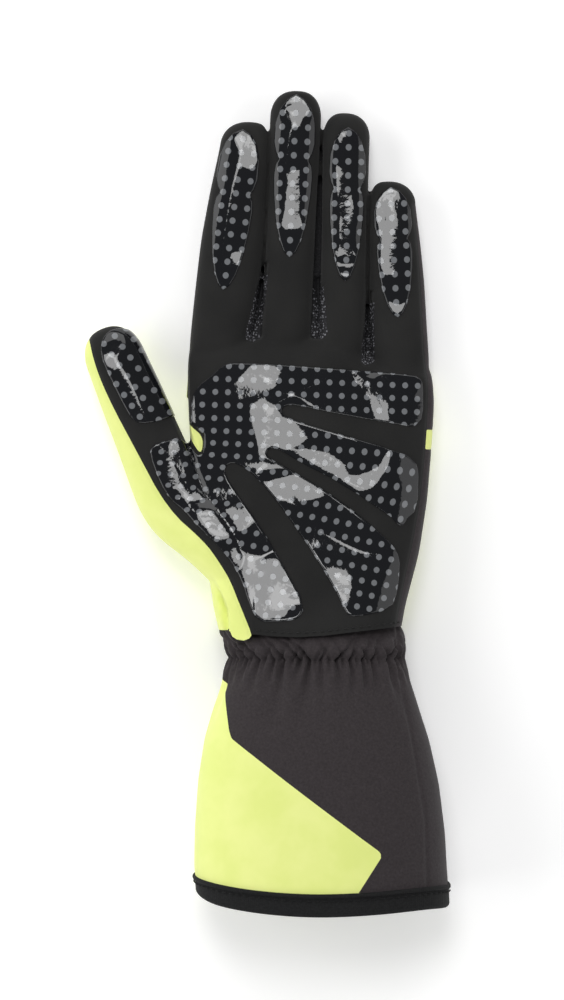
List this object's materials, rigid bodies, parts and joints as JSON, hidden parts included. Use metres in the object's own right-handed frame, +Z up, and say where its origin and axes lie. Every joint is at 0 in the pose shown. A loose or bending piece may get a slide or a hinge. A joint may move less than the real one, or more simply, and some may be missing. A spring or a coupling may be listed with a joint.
{
  "type": "karting glove",
  "caption": "Left-hand driving glove with a long flared cuff, gathered wrist, suede palm and glossy moulded grip patches on the fingers and palm.",
  "frame": {"origin": "middle of the bottom of the glove's bounding box, on the surface it lies on", "axes": "+Z up out of the palm, +Y from the cuff toward the fingertips, +X toward the little finger"},
  "size_m": [0.131, 0.2904, 0.0612],
  "materials": {
    "suede": "matt black synthetic suede",
    "bright_cloth": "pale fluorescent yellow woven cloth",
    "dark_cloth": "matt anthracite woven cloth",
    "knit": "black ribbed knit",
    "grip_gloss": "glossy black silicone over printed grey dots",
    "binding": "black woven tape"
  },
  "bodies": {
    "root": {"palm_panel": "suede", "finger_backs": "dark_cloth", "hand_back": "bright_cloth", "thumb_side": "bright_cloth", "fourchette_index_middle": "knit", "fourchette_middle_ring": "knit", "fourchette_ring_little": "knit", "side_strip_upper": "dark_cloth", "side_flash": "bright_cloth", "side_strip_lower": "dark_cloth", "index_grip": "grip_gloss", "middle_grip": "grip_gloss", "ring_grip": "grip_gloss", "little_grip": "grip_gloss", "thumb_grip": "grip_gloss", "palm_grip": "grip_gloss", "cuff_front": "dark_cloth", "cuff_back": "dark_cloth", "cuff_flash": "bright_cloth", "hem_binding": "binding", "hem_piping": "binding"}
  },
  "joints": []
}
